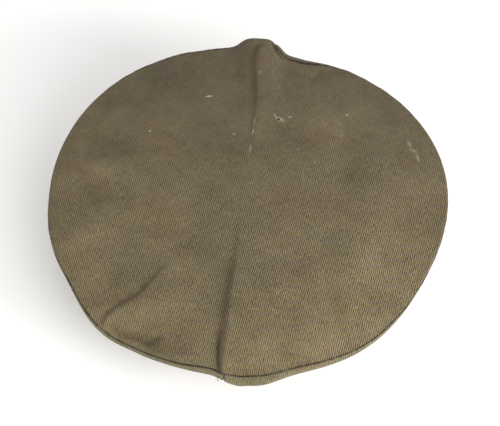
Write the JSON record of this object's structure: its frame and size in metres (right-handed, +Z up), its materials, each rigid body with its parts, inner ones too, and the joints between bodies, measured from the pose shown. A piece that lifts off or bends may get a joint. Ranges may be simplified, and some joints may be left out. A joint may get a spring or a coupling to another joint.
{
  "type": "trench cap",
  "caption": "Soft khaki twill trench cap, wide round crown sewn to turned-in quarters, head band and stitched cloth peak, lying as it rests on a table.",
  "frame": {"origin": "middle of the cap's outline seen from above, on the table it rests on", "axes": "+Z up, +Y towards the peak, +X towards the wearer's right"},
  "size_m": [0.2886, 0.2772, 0.1009],
  "materials": {
    "crown_twill": "worn khaki cotton drill, matt",
    "quarter_twill": "worn khaki cotton drill, matt",
    "band_twill": "worn khaki cotton drill, matt",
    "peak_twill": "khaki cotton drill with close rows of stitching, matt"
  },
  "bodies": {
    "root": {"crown_top": "crown_twill", "quarter_front_right": "quarter_twill", "quarter_front_left": "quarter_twill", "quarter_back_left": "quarter_twill", "quarter_back_right": "quarter_twill", "band": "band_twill", "peak": "peak_twill"}
  },
  "joints": []
}
